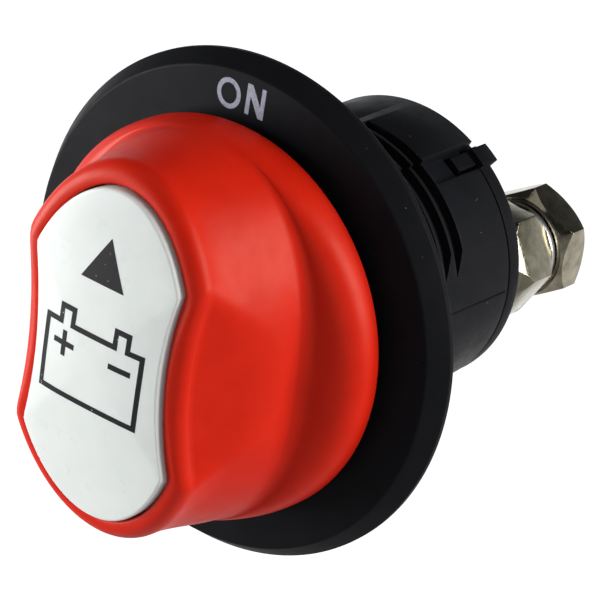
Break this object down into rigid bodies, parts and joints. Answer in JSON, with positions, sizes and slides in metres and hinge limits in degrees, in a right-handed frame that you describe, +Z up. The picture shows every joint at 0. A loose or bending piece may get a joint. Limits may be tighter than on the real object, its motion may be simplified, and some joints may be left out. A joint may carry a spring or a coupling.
{
  "type": "rotary battery switch",
  "caption": "Panel-mounted rotary battery switch with a red grip knob, white domed insert, black round flange and barrel, and threaded terminal studs at the back.",
  "frame": {"origin": "on the switch axis, in the plane of the flange's back face where it meets the panel", "axes": "+Y along the switch axis from the knob towards the terminal studs, +Z up through the ON mark, +X to the right as seen from the knob"},
  "size_m": [0.065, 0.0786, 0.065],
  "materials": {
    "black_plastic": "satin",
    "red_plastic": "satin",
    "white_plastic": "satin",
    "natural_nylon": "satin",
    "black_rubber": "matte",
    "copper": "satin",
    "brass": "satin",
    "nickel_plate": "polished",
    "spring_steel": "satin"
  },
  "bodies": {
    "switch_body": {"housing": "black_plastic", "end_plate": "black_plastic", "stud_right": "brass", "stud_left": "brass", "clamp_nut_right": "nickel_plate", "clamp_nut_left": "nickel_plate", "lock_washer_right": "spring_steel", "lock_washer_left": "spring_steel", "terminal_nut_right": "nickel_plate", "terminal_nut_left": "nickel_plate", "return_spring_top": "spring_steel", "return_spring_bottom": "spring_steel", "thrust_washer": "natural_nylon"},
    "knob_group": {"knob": "red_plastic", "knob_insert": "white_plastic", "knob_screw": "spring_steel", "screw_washer": "spring_steel", "spindle": "natural_nylon", "shaft_seal": "black_rubber"},
    "carrier_group": {"contact_carrier": "natural_nylon", "contact_spring": "spring_steel", "bridge_clip": "spring_steel"},
    "bridge_group": {"contact_bridge": "copper"}
  },
  "joints": [
    {"name": "knob_turn", "type": "hinge", "parent": "switch_body", "child": "knob_group", "pos_m": [0, 0, 0], "axis": [0, -1, 0], "range_deg": [0, 90]},
    {"name": "carrier_lift", "type": "slide", "parent": "switch_body", "child": "carrier_group", "axis": [0, -1, 0], "range_m": [0, 0.003], "deforming": ["return_spring_top", "return_spring_bottom"]},
    {"name": "bridge_overtravel", "type": "slide", "parent": "carrier_group", "child": "bridge_group", "axis": [0, -1, 0], "range_m": [0, 0.0006], "stiffness_N_per_m": 8000, "deforming": ["contact_spring"]}
  ],
  "couplings": [
    {"joint": "carrier_lift", "follows": "knob_turn", "m_per_rad": 0.0019099}
  ]
}
